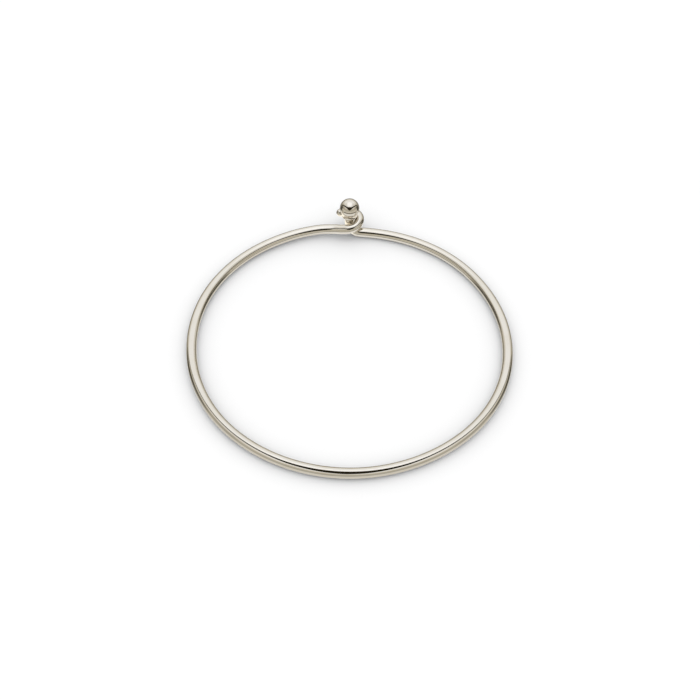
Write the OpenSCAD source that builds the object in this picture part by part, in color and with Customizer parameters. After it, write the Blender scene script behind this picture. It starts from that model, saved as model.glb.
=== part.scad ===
// Round wire bangle with a ball-and-hook clasp, lying on its side.
// The hoop's centre is over the origin, the surface is z = 0 and the clasp is at the back, +Y.
// Sizes are in mm.

/* [Hoop] */
// Radius of the hoop, to the middle of the wire
hoop_r = 31; // [28:0.5:34]
// Diameter of the wire
wire_d = 2; // [1.7:0.1:2]

/* [Clasp] */
// Diameter of the ball
ball_d = 4.1; // [3.8:0.1:4.4]
// Height of the ball's centre above the middle of the lying wire
ball_up = 5.45; // [5.4:0.05:6]
// Radius of the bend that turns the right end up into the post
post_bend_r = 1.5; // [1.4:0.05:1.6]
// Radius of the collar under the ball
collar_r = 1.75; // [1.5:0.05:1.8]
// Distance from the ball's centre down to the collar's lip
collar_down = 1.8; // [1.6:0.05:1.85]

/* [Hidden] */
$fn = 64;
wire_r = wire_d / 2;
// Every second bend is this much slimmer and reaches this far into its neighbours, for a clean join
slimmer = 0.01;
reach = 0.06;

// The post stands just outside the back of the hoop
post_x = -0.62;
post_y = hoop_r + 1.5;
post_top = wire_r + ball_up + 0.5;
// Way that the right end leaves the foot of the post
crank_way = -41;

// Room between the post and its socket, and the rounding of the collar's lip
socket_gap = 0.05;
lip_r = 0.28;
// The tip of the hook narrows to this share of the wire
tip_share = 0.82;
tip_l = 0.3;

ROUND = 0;
FAR = 1;
UP = 2;
// The hoop, clockwise from the crank to the hook. It is a little out of round, and rises to the hook.
// Columns: angle round the hoop, how far outside its radius, height above the middle of the lying wire
hoop = [
    [86.4, 0, 0],
    [66, 0.20, 0],
    [48, 0.26, 0],
    [30, 0.07, 0],
    [0, -0.02, 0],
    [-35, -0.02, 0],
    [-60, -0.14, 0],
    [-88, -0.03, 0],
    [-120, 0.02, 0],
    [-138, 0.05, 0.01],
    [-162, -0.03, 0.03],
    [-180, 0.05, 0.04],
    [-192, 0.25, 0.05],
    [-204, 0.50, 0.06],
    [-222, 0.78, 0.10],
    [-240, 0.90, 0.22],
    [-252, 0.85, 0.40],
    [-258.5, 0.59, 0.61]
];
// The hook, on to its tip.
// Columns: angle round the post, distance from the post, height above the middle of the lying wire
hook = [
    [-151.2, 3.49, 0.88],
    [-123, 2.60, 1.30],
    [-90, 2.40, 1.70],
    [-65, 2.35, 1.95],
    [-42, 2.25, 2.15],
    [-10, 2.12, 2.35],
    [25, 2.10, 2.40],
    [60, 2.10, 2.40],
    [98, 2.15, 2.40],
    [134, 2.50, 2.50]
];

function unit(v) = v / norm(v);

// Place of each row of the hoop and of the hook
places = concat(
    [
        for (row = hoop) [
            (hoop_r + row[FAR]) * cos(row[ROUND]),
            (hoop_r + row[FAR]) * sin(row[ROUND]),
            wire_r + row[UP]
        ]
    ],
    [
        for (row = hook) [
            post_x + row[FAR] * cos(row[ROUND]),
            post_y + row[FAR] * sin(row[ROUND]),
            wire_r + row[UP]
        ]
    ]
);
last = len(places) - 1;

// Heading at b on the circle through a, b and c
function heading_through(a, b, c) = unit((b - a) / ((b - a) * (b - a)) + (c - b) / ((c - b) * (c - b)));
// Heading at the far end of the one arc that leaves a along t and ends at b
function heading_at_end(a, t, b) = 2 * (t * unit(b - a)) * unit(b - a) - t;

function heading(i) =
    i == 0 ? [sin(hoop[0][ROUND]), -cos(hoop[0][ROUND]), 0]
    : i < last ? heading_through(places[i - 1], places[i], places[i + 1])
    : heading_at_end(places[i - 1], heading(i - 1), places[i]);

// A bend is [start, heading at the start, end].
// Two bends join place a with heading s to place b with heading t
function two_bends(a, s, b, t) =
    let (
        v = b - a,
        w = s + t,
        k = 2 * (1 - s * t),
        d = k < 1e-9 ? v * v / (4 * (v * t)) : (sqrt((v * w) ^ 2 + k * (v * v)) - v * w) / k,
        middle = (a + b + d * (s - t)) / 2
    )
    [[a, s, middle], [middle, unit(v - d * w), b]];

post_foot = [post_x, post_y, wire_r + post_bend_r];
crank_heading = [cos(crank_way), sin(crank_way), 0];
crank_end = [post_x, post_y, wire_r] + post_bend_r * crank_heading;

bends = concat(
    [[post_foot, [0, 0, -1], crank_end]],
    two_bends(crank_end, crank_heading, places[0], heading(0)),
    [
        for (i = [0:last - 1])
            for (bend = two_bends(places[i], heading(i), places[i + 1], heading(i + 1)))
                bend
    ]
);

// Draws in a frame at p whose axes are x, y and their cross product
module framed(p, x, y) {
    z = cross(x, y);
    multmatrix([
        [x[0], y[0], z[0], p[0]],
        [x[1], y[1], z[1], p[1]],
        [x[2], y[2], z[2], p[2]],
        [0, 0, 0, 1]
    ])
        children();
}

// One bend of round wire, longer by over at both ends
module bent_wire(bend, r, over) {
    v = bend[2] - bend[0];
    inward = v - bend[1] * (v * bend[1]);
    bend_r = v * v / (2 * norm(inward));
    turn = 2 * atan2(norm(inward), v * bend[1]);
    more = over / bend_r * 180 / PI;
    framed(bend[0] + bend_r * unit(inward), -unit(inward), bend[1])
        rotate_extrude(angle = turn + 2 * more, start = -more)
            translate([bend_r, 0])
                circle(r);
}

// The rounded tip that the hook ends in
module hook_tip() {
    t = heading(last);
    across = unit(cross([0, 0, 1], t));
    framed(places[last], cross(t, across), across)
        rotate([0, 90, 0]) {
            translate([0, 0, -reach])
                cylinder(r1 = wire_r - 2 * slimmer, r2 = wire_r * tip_share, h = tip_l + reach);
            translate([0, 0, tip_l])
                sphere(wire_r * tip_share - slimmer);
        }
}

// Hoop, hook, crank and post: one bent length of wire
module hoop_wire() {
    color("silver") {
        for (i = [0:len(bends) - 1]) {
            slim = i % 2 == 0;
            bent_wire(bends[i], slim ? wire_r - slimmer : wire_r, slim ? reach : 0);
        }
        translate(post_foot)
            cylinder(r = wire_r, h = post_top - post_foot[2]);
        hook_tip();
    }
}

// Ball with its collar, closed over the top of the post
module ball_end() {
    collar_bottom = -collar_down - lip_r;
    color("gainsboro")
        translate([post_x, post_y, wire_r + ball_up])
            difference() {
                union() {
                    sphere(d = ball_d);
                    rotate_extrude() {
                        polygon([
                            [0, -1],
                            [1.6, -1],
                            [collar_r, -collar_down],
                            [collar_r - lip_r, collar_bottom],
                            [0, collar_bottom]
                        ]);
                        translate([collar_r - lip_r, -collar_down])
                            circle(lip_r);
                    }
                }
                translate([0, 0, collar_bottom - 1])
                    cylinder(r = wire_r + socket_gap, h = post_top + socket_gap - wire_r - ball_up - collar_bottom + 1);
            }
}

hoop_wire();
ball_end();
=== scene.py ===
import math

import bmesh
import bpy
from mathutils import Matrix, Vector


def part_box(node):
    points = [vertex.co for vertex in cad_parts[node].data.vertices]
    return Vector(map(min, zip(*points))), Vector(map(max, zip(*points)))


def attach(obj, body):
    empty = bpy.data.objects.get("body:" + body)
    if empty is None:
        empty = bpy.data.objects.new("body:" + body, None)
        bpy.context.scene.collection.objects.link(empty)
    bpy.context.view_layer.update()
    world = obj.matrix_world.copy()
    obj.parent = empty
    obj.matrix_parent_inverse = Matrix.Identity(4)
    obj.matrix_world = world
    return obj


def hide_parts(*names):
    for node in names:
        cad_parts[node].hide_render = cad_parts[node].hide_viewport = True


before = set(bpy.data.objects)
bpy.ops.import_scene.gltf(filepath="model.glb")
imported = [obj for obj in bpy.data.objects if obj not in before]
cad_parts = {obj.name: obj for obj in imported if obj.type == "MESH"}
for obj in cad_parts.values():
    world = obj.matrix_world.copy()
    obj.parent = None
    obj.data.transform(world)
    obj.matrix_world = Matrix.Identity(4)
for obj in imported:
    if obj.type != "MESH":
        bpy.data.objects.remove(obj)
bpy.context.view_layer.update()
mm = 0.001

# Camera.
# It looks down at the bangle from the front, a hand's length away, with a slight roll.
photo_px = 700
focal_px = 1114.05
film = 36.0
camera_away = 220 * mm
camera_across = 0.045 * mm
camera_up = -1.029 * mm
look_down = math.radians(49.93)
look_roll = 0.020

look = Vector((0, math.cos(look_down), -math.sin(look_down)))
level = Vector((1, 0, 0))
upright = level.cross(look)
right = level * math.cos(look_roll) + upright * math.sin(look_roll)
up = upright * math.cos(look_roll) - level * math.sin(look_roll)
stand = right * camera_across + up * camera_up - look * camera_away

camera = bpy.data.objects.new("camera", bpy.data.cameras.new("camera"))
bpy.context.scene.collection.objects.link(camera)
bpy.context.scene.camera = camera
camera.data.sensor_width = film
camera.data.lens = focal_px * film / photo_px
camera.data.clip_start = 10 * mm
camera.matrix_world = Matrix.Translation(stand) @ Matrix((right, up, -look)).transposed().to_4x4()

# Hoop, hook and post.
# One length of 2 mm round silver wire. Its right end is cranked out and turned up into a post, the hoop
# is bent nearly round by hand, and its left end rises so that the hook passes over the right end.
wire_r = 1.0 * mm
wire_sides = 48
hoop_r = 31 * mm
post_x = -0.62 * mm
post_y = hoop_r + 1.5 * mm
post_top = 6.95 * mm
post_bend_r = 1.5 * mm
crank_way = math.radians(-41)
step_long = 0.45 * mm
step_turn = math.radians(2.5)
tip_share = 0.82
tip_long = 0.3 * mm
tip_steps = 8
tip_point = 0.02
straight_enough = 1e-9

# Columns: degrees round the hoop, mm outside its radius, mm above the middle of the lying wire
hoop_rows = (
    (86.4, 0, 0),
    (66, 0.20, 0),
    (48, 0.26, 0),
    (30, 0.07, 0),
    (0, -0.02, 0),
    (-35, -0.02, 0),
    (-60, -0.14, 0),
    (-88, -0.03, 0),
    (-120, 0.02, 0),
    (-138, 0.05, 0.01),
    (-162, -0.03, 0.03),
    (-180, 0.05, 0.04),
    (-192, 0.25, 0.05),
    (-204, 0.50, 0.06),
    (-222, 0.78, 0.10),
    (-240, 0.90, 0.22),
    (-252, 0.85, 0.40),
    (-258.5, 0.59, 0.61),
)

# Columns: degrees round the post, mm from the post, mm above the middle of the lying wire
hook_rows = (
    (-151.2, 3.49, 0.88),
    (-123, 2.60, 1.30),
    (-90, 2.40, 1.70),
    (-65, 2.35, 1.95),
    (-42, 2.25, 2.15),
    (-10, 2.12, 2.35),
    (25, 2.10, 2.40),
    (60, 2.10, 2.40),
    (98, 2.15, 2.40),
    (134, 2.50, 2.50),
)


def place_round(centre, degrees_round, away, mm_up):
    """Place of the wire's middle, round the centre of the hoop or round the post."""
    turn = math.radians(degrees_round)
    return centre + Vector((away * math.cos(turn), away * math.sin(turn), wire_r + mm_up * mm))


def heading_through(before, here, after):
    """Heading at the middle one of three places, on the circle through them."""
    come = here - before
    leave = after - here
    return (come / come.length_squared + leave / leave.length_squared).normalized()


def heading_at_end(start, heading, end):
    """Heading at the end of the one arc that leaves start along heading."""
    chord = (end - start).normalized()
    return 2 * heading.dot(chord) * chord - heading


def two_bends(start, heading, end, end_heading):
    """The two arcs that join one place and heading to another, as (start, heading, end)."""
    chord = end - start
    both = heading + end_heading
    turning = 2 * (1 - heading.dot(end_heading))
    across = chord.dot(both)
    if turning < straight_enough:
        reach = chord.length_squared / (4 * chord.dot(end_heading))
    else:
        reach = (math.sqrt(across ** 2 + turning * chord.length_squared) - across) / turning
    middle = (start + end + reach * (heading - end_heading)) / 2
    return [(start, heading, middle), (middle, (chord - reach * both).normalized(), end)]


def bend_wire(bm, ring, bend, travelled):
    """Sweeps a ring of wire through one bend, and notes on each vertex how far along the wire it lies."""
    start, heading, end = bend
    chord = end - start
    inward = chord - heading * chord.dot(heading)
    bend_r = chord.length_squared / (2 * inward.length)
    turn = 2 * math.atan2(inward.length, chord.dot(heading))
    steps = max(2, math.ceil(bend_r * turn / step_long), math.ceil(turn / step_turn))
    for _ in range(steps):
        swept = bmesh.ops.spin(
            bm, geom=ring, cent=start + inward.normalized() * bend_r, axis=heading.cross(inward),
            angle=turn / steps, steps=1,
        )
        ring = swept["geom_last"]
        for vert in ring:
            if isinstance(vert, bmesh.types.BMVert):
                vert[travelled] += Vector((0, 0, bend_r * turn / steps))
    return ring


def push_wire(bm, ring, move, share, travelled):
    """Extrudes a ring by a move, and narrows it to a share of its width."""
    edges = [item for item in ring if isinstance(item, bmesh.types.BMEdge)]
    pushed = bmesh.ops.extrude_edge_only(bm, edges=edges)["geom"]
    verts = [item for item in pushed if isinstance(item, bmesh.types.BMVert)]
    middle = sum((vert.co for vert in verts), Vector()) / len(verts)
    bmesh.ops.scale(bm, verts=verts, vec=(share,) * 3, space=Matrix.Translation(-middle))
    bmesh.ops.translate(bm, verts=verts, vec=move)
    for vert in verts:
        vert[travelled] += Vector((0, 0, move.length))
    return verts + [item for item in pushed if isinstance(item, bmesh.types.BMEdge)]


def finished_piece(bm, name):
    """Turns a bmesh into a smooth object that faces outwards."""
    bmesh.ops.recalc_face_normals(bm, faces=bm.faces)
    mesh = bpy.data.meshes.new(name)
    bm.to_mesh(mesh)
    bm.free()
    mesh.shade_smooth()
    piece = bpy.data.objects.new(name, mesh)
    bpy.context.scene.collection.objects.link(piece)
    return piece


post = Vector((post_x, post_y, 0))
crank_join = math.radians(hoop_rows[0][0])
places = [place_round(Vector(), turn, hoop_r + out * mm, mm_up) for turn, out, mm_up in hoop_rows]
places += [place_round(post, turn, away * mm, mm_up) for turn, away, mm_up in hook_rows]
headings = [Vector((math.sin(crank_join), -math.cos(crank_join), 0))]
for before, here, after in zip(places, places[1:], places[2:]):
    headings.append(heading_through(before, here, after))
headings.append(heading_at_end(places[-2], headings[-1], places[-1]))

post_foot = post + Vector((0, 0, wire_r + post_bend_r))
crank_heading = Vector((math.cos(crank_way), math.sin(crank_way), 0))
crank_end = post + Vector((0, 0, wire_r)) + crank_heading * post_bend_r
bends = [(post_foot, Vector((0, 0, -1)), crank_end)]
bends += two_bends(crank_end, crank_heading, places[0], headings[0])
for i in range(len(places) - 1):
    bends += two_bends(places[i], headings[i], places[i + 1], headings[i + 1])

bm = bmesh.new()
straight = bm.verts.layers.float_vector.new("straight")
post_end = bmesh.ops.create_circle(bm, cap_ends=True, segments=wire_sides, radius=wire_r)["verts"]
for vert in post_end:
    vert[straight] = vert.co
bmesh.ops.translate(bm, verts=post_end, vec=(post_x, post_y, post_top))
ring = post_end + bm.edges[:]
ring = push_wire(bm, ring, Vector((0, 0, post_foot.z - post_top)), 1, straight)
for bend in bends:
    ring = bend_wire(bm, ring, bend, straight)
tip_heading = headings[-1]
ring = push_wire(bm, ring, tip_heading * tip_long, tip_share, straight)
for step in range(tip_steps):
    low = math.pi / 2 * step / tip_steps
    high = math.pi / 2 * (step + 1) / tip_steps
    rise = (math.sin(high) - math.sin(low)) * tip_share * wire_r
    share = max(math.cos(high), tip_point) / math.cos(low)
    ring = push_wire(bm, ring, tip_heading * rise, share, straight)
bmesh.ops.edgeloop_fill(bm, edges=[item for item in ring if isinstance(item, bmesh.types.BMEdge)])
hoop = finished_piece(bm, "silver_hoop")

warm_silver = (0.88, 0.84, 0.77, 1)
worn_silver = (0.83, 0.78, 0.69, 1)
worn_share = 0.7
worn_span = (0.35, 0.75)
handled_span = (0.45, 0.7)

# Marks in the polish: sizes are per mm, and heights are in thousandths of a mm
micron = 0.001 * mm
cloud_scale = 0.22
ripple_scale = 0.55
ripple_height = 9
rubbing_stretch = (9, 9, 0.35)
rubbing_height = 0.12
scratch_scale = 1.3
scratch_stretch = (1.6, 1.6, 0.5)
scratch_shift = (4, 1, 7)
scratch_width = 0.006
scratch_depth = 0.8

# Roughness of the bare polish, and what each kind of mark adds to it
polish_rough = 0.02
cloud_rough = 0.02
rubbing_rough = 0.03
scratch_rough = 0.1


class Reading:
    """A shader socket that can be used in Python sums."""

    def __init__(self, shade, socket):
        self.shade = shade
        self.socket = socket

    def math(self, operation, *others):
        values = {i: value for i, value in enumerate((self,) + others)}
        return self.shade.node("ShaderNodeMath", {"operation": operation}, values)["Value"]

    def __add__(self, other):
        return self.math("ADD", other)

    def __sub__(self, other):
        return self.math("SUBTRACT", other)

    def __mul__(self, other):
        return self.math("MULTIPLY", other)

    def __rsub__(self, other):
        return self * -1 + other

    __radd__ = __add__
    __rmul__ = __mul__

    def between(self, low, high):
        """0 below low, 1 above high, and smooth from one to the other."""
        settings = {"interpolation_type": "SMOOTHSTEP"}
        values = {"Value": self, "From Min": low, "From Max": high}
        return self.shade.node("ShaderNodeMapRange", settings, values)["Result"]

    def near_zero(self, full, gone):
        """1 where this is within full of zero, 0 where it is beyond gone, on either side."""
        return 1 - self.math("ABSOLUTE").between(full, gone)

    def from_to(self, low, high):
        """low where this is 0, high where it is 1."""
        return self * (high - low) + low


class Shade:
    """The nodes of one material or of the world."""

    def __init__(self, owner):
        owner.use_nodes = True
        self.tree = owner.node_tree
        self.tree.nodes.clear()

    def node(self, kind, settings, values):
        """Adds a node, and returns its outputs by name."""
        node = self.tree.nodes.new(kind)
        for name, setting in settings.items():
            setattr(node, name, setting)
        for name, value in values.items():
            if isinstance(value, Reading):
                self.tree.links.new(value.socket, node.inputs[name])
            else:
                node.inputs[name].default_value = value
        return {output.name: Reading(self, output) for output in node.outputs if output.enabled}

    def noise(self, place, scale, detail):
        values = {"Vector": place, "Scale": scale, "Detail": detail}
        return self.node("ShaderNodeTexNoise", {}, values)["Fac"]

    def stretched(self, place, stretch, offset=(0, 0, 0)):
        """The same place, stretched and shifted."""
        values = {"Vector": place, "Location": offset, "Scale": stretch}
        return self.node("ShaderNodeMapping", {}, values)["Vector"]

    def split(self, place):
        """The parts X, Y and Z of a place or a direction."""
        return self.node("ShaderNodeSeparateXYZ", {}, {"Vector": place})

    def distance(self, place, middle=(0, 0, 0)):
        """How far a place is from a middle, or how long a direction is."""
        return self.node("ShaderNodeVectorMath", {"operation": "DISTANCE"}, {0: place, 1: middle})["Value"]

    def mixed(self, share, colour, other):
        """One colour where share is 0, the other where it is 1."""
        return self.node("ShaderNodeMix", {"data_type": "RGBA"}, {0: share, 6: colour, 7: other})["Result"]

    def tinted(self, tint, grey):
        """A tint made as bright as a grey from 0 to 1."""
        return self.mixed(grey, (0, 0, 0, 1), tint)

    def ends_in(self, surface):
        """Makes this what the material shows."""
        self.node("ShaderNodeOutputMaterial", {}, {"Surface": surface})


def polished_silver(name, read_place):
    """Polished silver with faint rubbing lines along z, hairline scratches and a little unevenness."""
    material = bpy.data.materials.new(name)
    shade = Shade(material)
    place = shade.stretched(read_place(shade), (1 / mm,) * 3)
    cloud = shade.noise(place, cloud_scale, 3)
    rubbed = shade.noise(shade.stretched(place, rubbing_stretch), 1, 2)
    ripple = shade.noise(place, ripple_scale, 1)
    scratch_field = shade.noise(shade.stretched(place, scratch_stretch, scratch_shift), scratch_scale, 1)
    scratch = (scratch_field - 0.5).near_zero(0.0, scratch_width) * cloud.between(*handled_span)
    height = (ripple * ripple_height + rubbed * rubbing_height - scratch * scratch_depth) * micron
    bump = shade.node("ShaderNodeBump", {}, {"Height": height, "Distance": 1.0, "Strength": 1.0})
    tone = shade.mixed(cloud.between(*worn_span) * worn_share, warm_silver, worn_silver)
    roughness = polish_rough + cloud * cloud_rough + rubbed * rubbing_rough + scratch * scratch_rough
    surface = shade.node(
        "ShaderNodeBsdfPrincipled", {},
        {"Base Color": tone, "Metallic": 1.0, "Roughness": roughness, "Normal": bump["Normal"]},
    )
    shade.ends_in(surface["BSDF"])
    return material


def along_the_wire(shade):
    """Where a point lay before the wire was bent, so that what runs along it follows every bend."""
    return shade.node("ShaderNodeAttribute", {"attribute_name": "straight"}, {})["Vector"]


def object_place(shade):
    """Object coordinates, which for every piece here are the shared frame's."""
    return shade.node("ShaderNodeTexCoord", {}, {})["Object"]


hoop.data.materials.append(polished_silver("drawn_silver", along_the_wire))
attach(hoop, "root")
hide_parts("hoop_wire")

# Ball and collar.
# One end piece turned from silver: a ball on a short round-lipped collar, drilled up from below and
# closed over the top of the post.
ball_low, ball_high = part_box("ball_end")
ball_r = (ball_high.y - ball_low.y) / 2
ball_middle = Vector((post_x, post_y, ball_high.z - ball_r))
ball_steps = 48
collar_r = 1.75 * mm
collar_down = 1.8 * mm
collar_meets = math.radians(126.8)
lip_r = 0.28 * mm
lip_steps = 10
socket_r = wire_r + 0.05 * mm
socket_up = 0.55 * mm
turned_steps = 96
same_place = 0.001 * mm


def turn_profile(bm, vert, middle, turn, steps):
    """Carries the profile on from a vertex, along an arc in the xz plane."""
    arc = bmesh.ops.spin(bm, geom=[vert], cent=middle, axis=(0, 1, 0), angle=turn, steps=steps)
    return next(item for item in arc["geom_last"] if isinstance(item, bmesh.types.BMVert))


def line_to(bm, vert, x, z):
    """Carries the profile on from a vertex, in a straight line."""
    end = bm.verts.new((x, 0, z))
    bm.edges.new((vert, end))
    return end


bm = bmesh.new()
vert = bm.verts.new((0, 0, ball_r))
vert = turn_profile(bm, vert, (0, 0, 0), collar_meets, ball_steps)
vert = line_to(bm, vert, collar_r, -collar_down)
vert = turn_profile(bm, vert, (collar_r - lip_r, 0, -collar_down), math.radians(90), lip_steps)
vert = line_to(bm, vert, socket_r, -collar_down - lip_r)
vert = line_to(bm, vert, socket_r, socket_up)
vert = line_to(bm, vert, 0, socket_up)
bmesh.ops.spin(
    bm, geom=bm.verts[:] + bm.edges[:], cent=(0, 0, 0), axis=(0, 0, 1),
    angle=math.tau, steps=turned_steps, use_merge=True,
)
bmesh.ops.remove_doubles(bm, verts=bm.verts, dist=same_place)
bmesh.ops.translate(bm, verts=bm.verts, vec=ball_middle)
ball = finished_piece(bm, "silver_ball")


def round_the_ball(shade):
    """Object coordinates, centred on the ball."""
    return shade.stretched(object_place(shade), (1, 1, 1), -ball_middle)


ball.data.materials.append(polished_silver("turned_silver", round_the_ball))
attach(ball, "root")
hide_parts("ball_end")

# Floor.
# A plain pale matt tabletop, wide enough that its edge is never near the bangle. The polish doesn't see
# it, and has the painted reflections of the tent and the floor light below in its place.
floor_r = 3.0
floor_sides = 64
floor_white = 0.93
floor_rough = 0.8
grain_scale = 900
grain_rough = 0.1


def tabletop(name, height, surface_of):
    """A round flat piece of the stage, with the surface that a function makes for a place on it."""
    bm = bmesh.new()
    bmesh.ops.create_circle(bm, cap_ends=True, segments=floor_sides, radius=floor_r)
    bmesh.ops.translate(bm, verts=bm.verts, vec=(0, 0, height))
    table = finished_piece(bm, name)
    paint = bpy.data.materials.new(name)
    shade = Shade(paint)
    shade.ends_in(surface_of(shade, object_place(shade)))
    table.data.materials.append(paint)
    return table


def matt_white(shade, place):
    """Matt white with a faint grain."""
    white = (floor_white,) * 3 + (1,)
    roughness = floor_rough + shade.noise(place, grain_scale, 4) * grain_rough
    values = {"Base Color": white, "Roughness": roughness, "Specular IOR Level": 0.0}
    return shade.node("ShaderNodeBsdfPrincipled", {}, values)["BSDF"]


floor = tabletop("floor", 0, matt_white)
floor.visible_glossy = False
floor.visible_diffuse = False
floor.visible_shadow = False

# Floor light.
# Painted reflection of the table close by, which only the polish sees: a glowing sheet just under the
# floor, bright under the wire, brightest round the post, and a bright strip that turns grey a little way
# in front of the hoop. Elsewhere it is clear.
light_down = 0.02 * mm
light_bright = 1.15
light_tint = (1, 0.965, 0.88, 1)
rim_middle = Vector((0, 1.5 * mm, 0))
rim_grey = 0.66
clasp_middle = Vector((post_x - 1.2 * mm, post_y + 1.8 * mm, 0))
clasp_grey = 1.0
strip_near_grey = 0.60
strip_far_grey = 0.32

# Where each one fades, in mm: off the hoop's line, from the clasp's middle and from the hoop's middle
rim_fades = (1.7, 2.8)
clasp_fades = (3.5, 6)
strip_starts = (31, 32)
strip_greys = (34, 37)
strip_ends = (48, 60)
# The strip lies in front only: its share of the way forwards
front_span = (0.2, 0.6)


def painted_reflection_near_wire(shade, place):
    """A painted reflection: a glow, bright under the wire and brightest round the post, laid over clear."""
    away = shade.distance(place) * (1 / mm)
    from_clasp = shade.distance(place, clasp_middle) * (1 / mm)
    from_middle = shade.distance(place, rim_middle) * (1 / mm)
    rim = (from_middle - hoop_r / mm).near_zero(*rim_fades)
    clasp = 1 - from_clasp.between(*clasp_fades)
    in_front = (shade.split(place)["Y"] * (-1 / mm)).math("DIVIDE", away).between(*front_span)
    strip = away.between(*strip_starts) * (1 - away.between(*strip_ends)) * in_front
    # Painted reflection: grey in the strip, bright on the rim under the wire, brightest round the post
    grey = away.between(*strip_greys).from_to(strip_near_grey, strip_far_grey)
    grey = clasp.from_to(rim.from_to(grey, rim_grey), clasp_grey)
    glow = shade.node(
        "ShaderNodeEmission", {}, {"Color": shade.tinted(light_tint, grey), "Strength": light_bright}
    )
    clear = shade.node("ShaderNodeBsdfTransparent", {}, {})
    cover = strip.math("MAXIMUM", rim).math("MAXIMUM", clasp)
    return shade.node("ShaderNodeMixShader", {}, {0: cover, 1: clear["BSDF"], 2: glow["Emission"]})["Shader"]


floor_light = tabletop("floor_light", -light_down, painted_reflection_near_wire)
floor_light.visible_camera = False
floor_light.visible_diffuse = False
floor_light.visible_shadow = False

# Dome.
# An even white dome that lights the tabletop from all round and stands behind it as the backdrop. It
# isn't seen in the polish either.
dome_r = 2.8
dome_glow = 1.12
dome_fineness = 5

bm = bmesh.new()
bmesh.ops.create_icosphere(bm, subdivisions=dome_fineness, radius=dome_r)
dome = finished_piece(bm, "dome")
white = bpy.data.materials.new("dome_white")
shade = Shade(white)
glow = shade.node("ShaderNodeEmission", {}, {"Color": (1, 1, 1, 1), "Strength": dome_glow})
shade.ends_in(glow["Emission"])
dome.data.materials.append(white)
dome.visible_glossy = False
dome.visible_shadow = False

# Tent opening.
# The light tent that the polish sees is open in front, as a broad triangle that hangs from its upper
# edge, with a long thin corner at each side. The dark room behind it is a painted dark reflection: a dim
# glowing sheet that only the polish sees, paler in the middle of its upper edge.
# Colours of the painted dark reflection: its dark, and its paler part
opening_dark = (0.020, 0.016, 0.010, 1)
opening_pale = (0.16, 0.135, 0.10, 1)

# Columns: mm across, then mm back and mm up of the upper edge, then of the lower edge
opening_half = (
    (0, -33, 98, -73, 29),
    (14, -33, 98, -69, 35),
    (40, -31, 95, -59, 50),
    (58, -18, 93, -42, 64),
    (84, 4, 92, -12, 67),
    (120, 38, 88, 32, 60),
    (180, 90, 76, 88, 44),
    (240, 140, 50, 140, 18),
)
# The painted dark reflection is paler in the middle of its upper edge: within how many mm across, and
# from how many mm up
pale_across = (30, 60)
pale_up = (82, 100)

bm = bmesh.new()
edges = [
    (bm.verts.new(Vector((x, y, z)) * mm), bm.verts.new(Vector((x, low_y, low_z)) * mm))
    for x, y, z, low_y, low_z in opening_half
]
for (top, bottom), (next_top, next_bottom) in zip(edges, edges[1:]):
    bm.faces.new((top, next_top, next_bottom, bottom))
bmesh.ops.mirror(
    bm, geom=bm.faces[:] + bm.edges[:] + bm.verts[:], axis="X", merge_dist=10 * same_place,
)
opening = finished_piece(bm, "tent_opening")
darkness = bpy.data.materials.new("painted_dark_reflection")
shade = Shade(darkness)
part = shade.split(object_place(shade))
paler = (part["X"] * (1 / mm)).near_zero(*pale_across) * (part["Z"] * (1 / mm)).between(*pale_up)
colour = shade.mixed(paler, opening_dark, opening_pale)
glow = shade.node("ShaderNodeEmission", {}, {"Color": colour, "Strength": 1.0})
shade.ends_in(glow["Emission"])
opening.data.materials.append(darkness)
opening.visible_camera = False
opening.visible_diffuse = False
opening.visible_shadow = False

# Light tent.
# What the polish sees all round, by direction only, a painted reflection: an even glow overhead, greyer
# low in front and at the sides, a dark gap left and right, and the pale table below with a grey line across
# it, darker tones tinted warmer. It lights nothing.
tent_bright = 1.08
tent_over = 1.0
tent_high = 0.76
tent_high_side = 0.68
tent_high_behind = 0.84
tent_low = 0.42
tent_low_side = 0.32
tent_low_behind = 0.60
tent_gap = 0.07
# The painted reflection of the table below: far off, at its grey line, near, straight below and behind
table_far = 0.56
table_line = 0.10
table_near = 0.74
table_below = 0.80
table_behind = 0.22
# Painted tint of the reflection: pale tones a little cool, dark tones warm
pale_tint = (0.99, 1, 1.02, 1)
dark_tint = (1, 0.93, 0.76, 1)

# How far a direction points to the side or back where the side and the back of the tent begin
side_span = (0.86, 0.96)
behind_span = (0.35, 0.75)
# How far it rises where the tent turns from low to high, and from high to overhead
high_span = (0.20, 0.62)
over_span = (0.80, 0.97)
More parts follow.
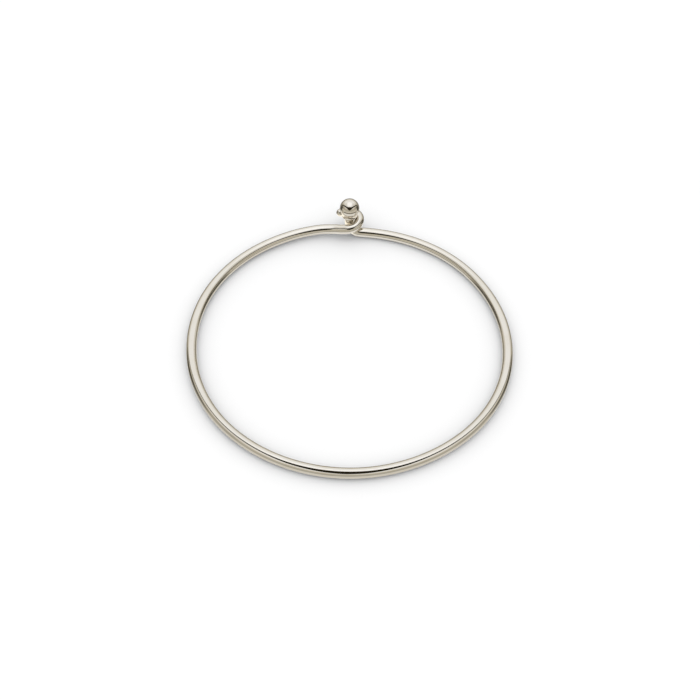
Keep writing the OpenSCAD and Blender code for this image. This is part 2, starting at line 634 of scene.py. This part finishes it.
# How far it falls to the table's line, its near part, its part below and the end of its part behind
horizon_span = (-0.01, 0.01)
line_fall = 0.46
line_fades = (0.03, 0.16)
near_span = (0.50, 0.60)
below_span = (0.72, 0.93)
behind_ends = (0.80, 0.95)
# The gap points mostly across and a little back, and ends above and below
gap_across = 0.956
gap_back = 0.292
gap_span = (0.927, 0.982)
gap_ends_up = (0.03, 0.20)
gap_ends_down = (0.42, 0.62)
# How bright a tone is where it turns from the dark tint to the pale one
pale_span = (0.35, 0.95)

world = bpy.data.worlds.new("light_tent")
bpy.context.scene.world = world
world.cycles_visibility.camera = False
world.cycles_visibility.diffuse = False
shade = Shade(world)
way = shade.node("ShaderNodeTexCoord", {}, {})["Generated"]
part = shade.split(way)
level_way = shade.node("ShaderNodeVectorMath", {"operation": "MULTIPLY"}, {0: way, 1: (1, 1, 0)})["Vector"]
level_length = shade.distance(level_way)
across = part["X"].math("ABSOLUTE").math("DIVIDE", level_length)
back = part["Y"].math("DIVIDE", level_length)
rise = part["Z"]
fall = rise * -1
side = across.between(*side_span)
behind = back.between(*behind_span)
low = side.from_to(behind.from_to(tent_low, tent_low_behind), tent_low_side)
high = side.from_to(behind.from_to(tent_high, tent_high_behind), tent_high_side)
tent = rise.between(*over_span).from_to(rise.between(*high_span).from_to(low, high), tent_over)
line = (fall - line_fall).near_zero(*line_fades)
table = fall.between(*near_span).from_to(line.from_to(table_far, table_line), table_near)
table = fall.between(*below_span).from_to(table, table_below)
table = (behind * (1 - fall.between(*behind_ends))).from_to(table, table_behind)
gap = (across * gap_across + back * gap_back).between(*gap_span)
gap = gap * (1 - rise.between(*gap_ends_up)) * (1 - fall.between(*gap_ends_down))
grey = gap.from_to(fall.between(*horizon_span).from_to(tent, table), tent_gap)
tint = shade.mixed(grey.between(*pale_span), dark_tint, pale_tint)
glow = shade.node("ShaderNodeBackground", {}, {"Color": shade.tinted(tint, grey), "Strength": tent_bright})
shade.node("ShaderNodeOutputWorld", {}, {"Surface": glow["Background"]})
bpy.context.scene.view_settings.view_transform = "Standard"
bpy.context.scene.cycles.caustics_reflective = False
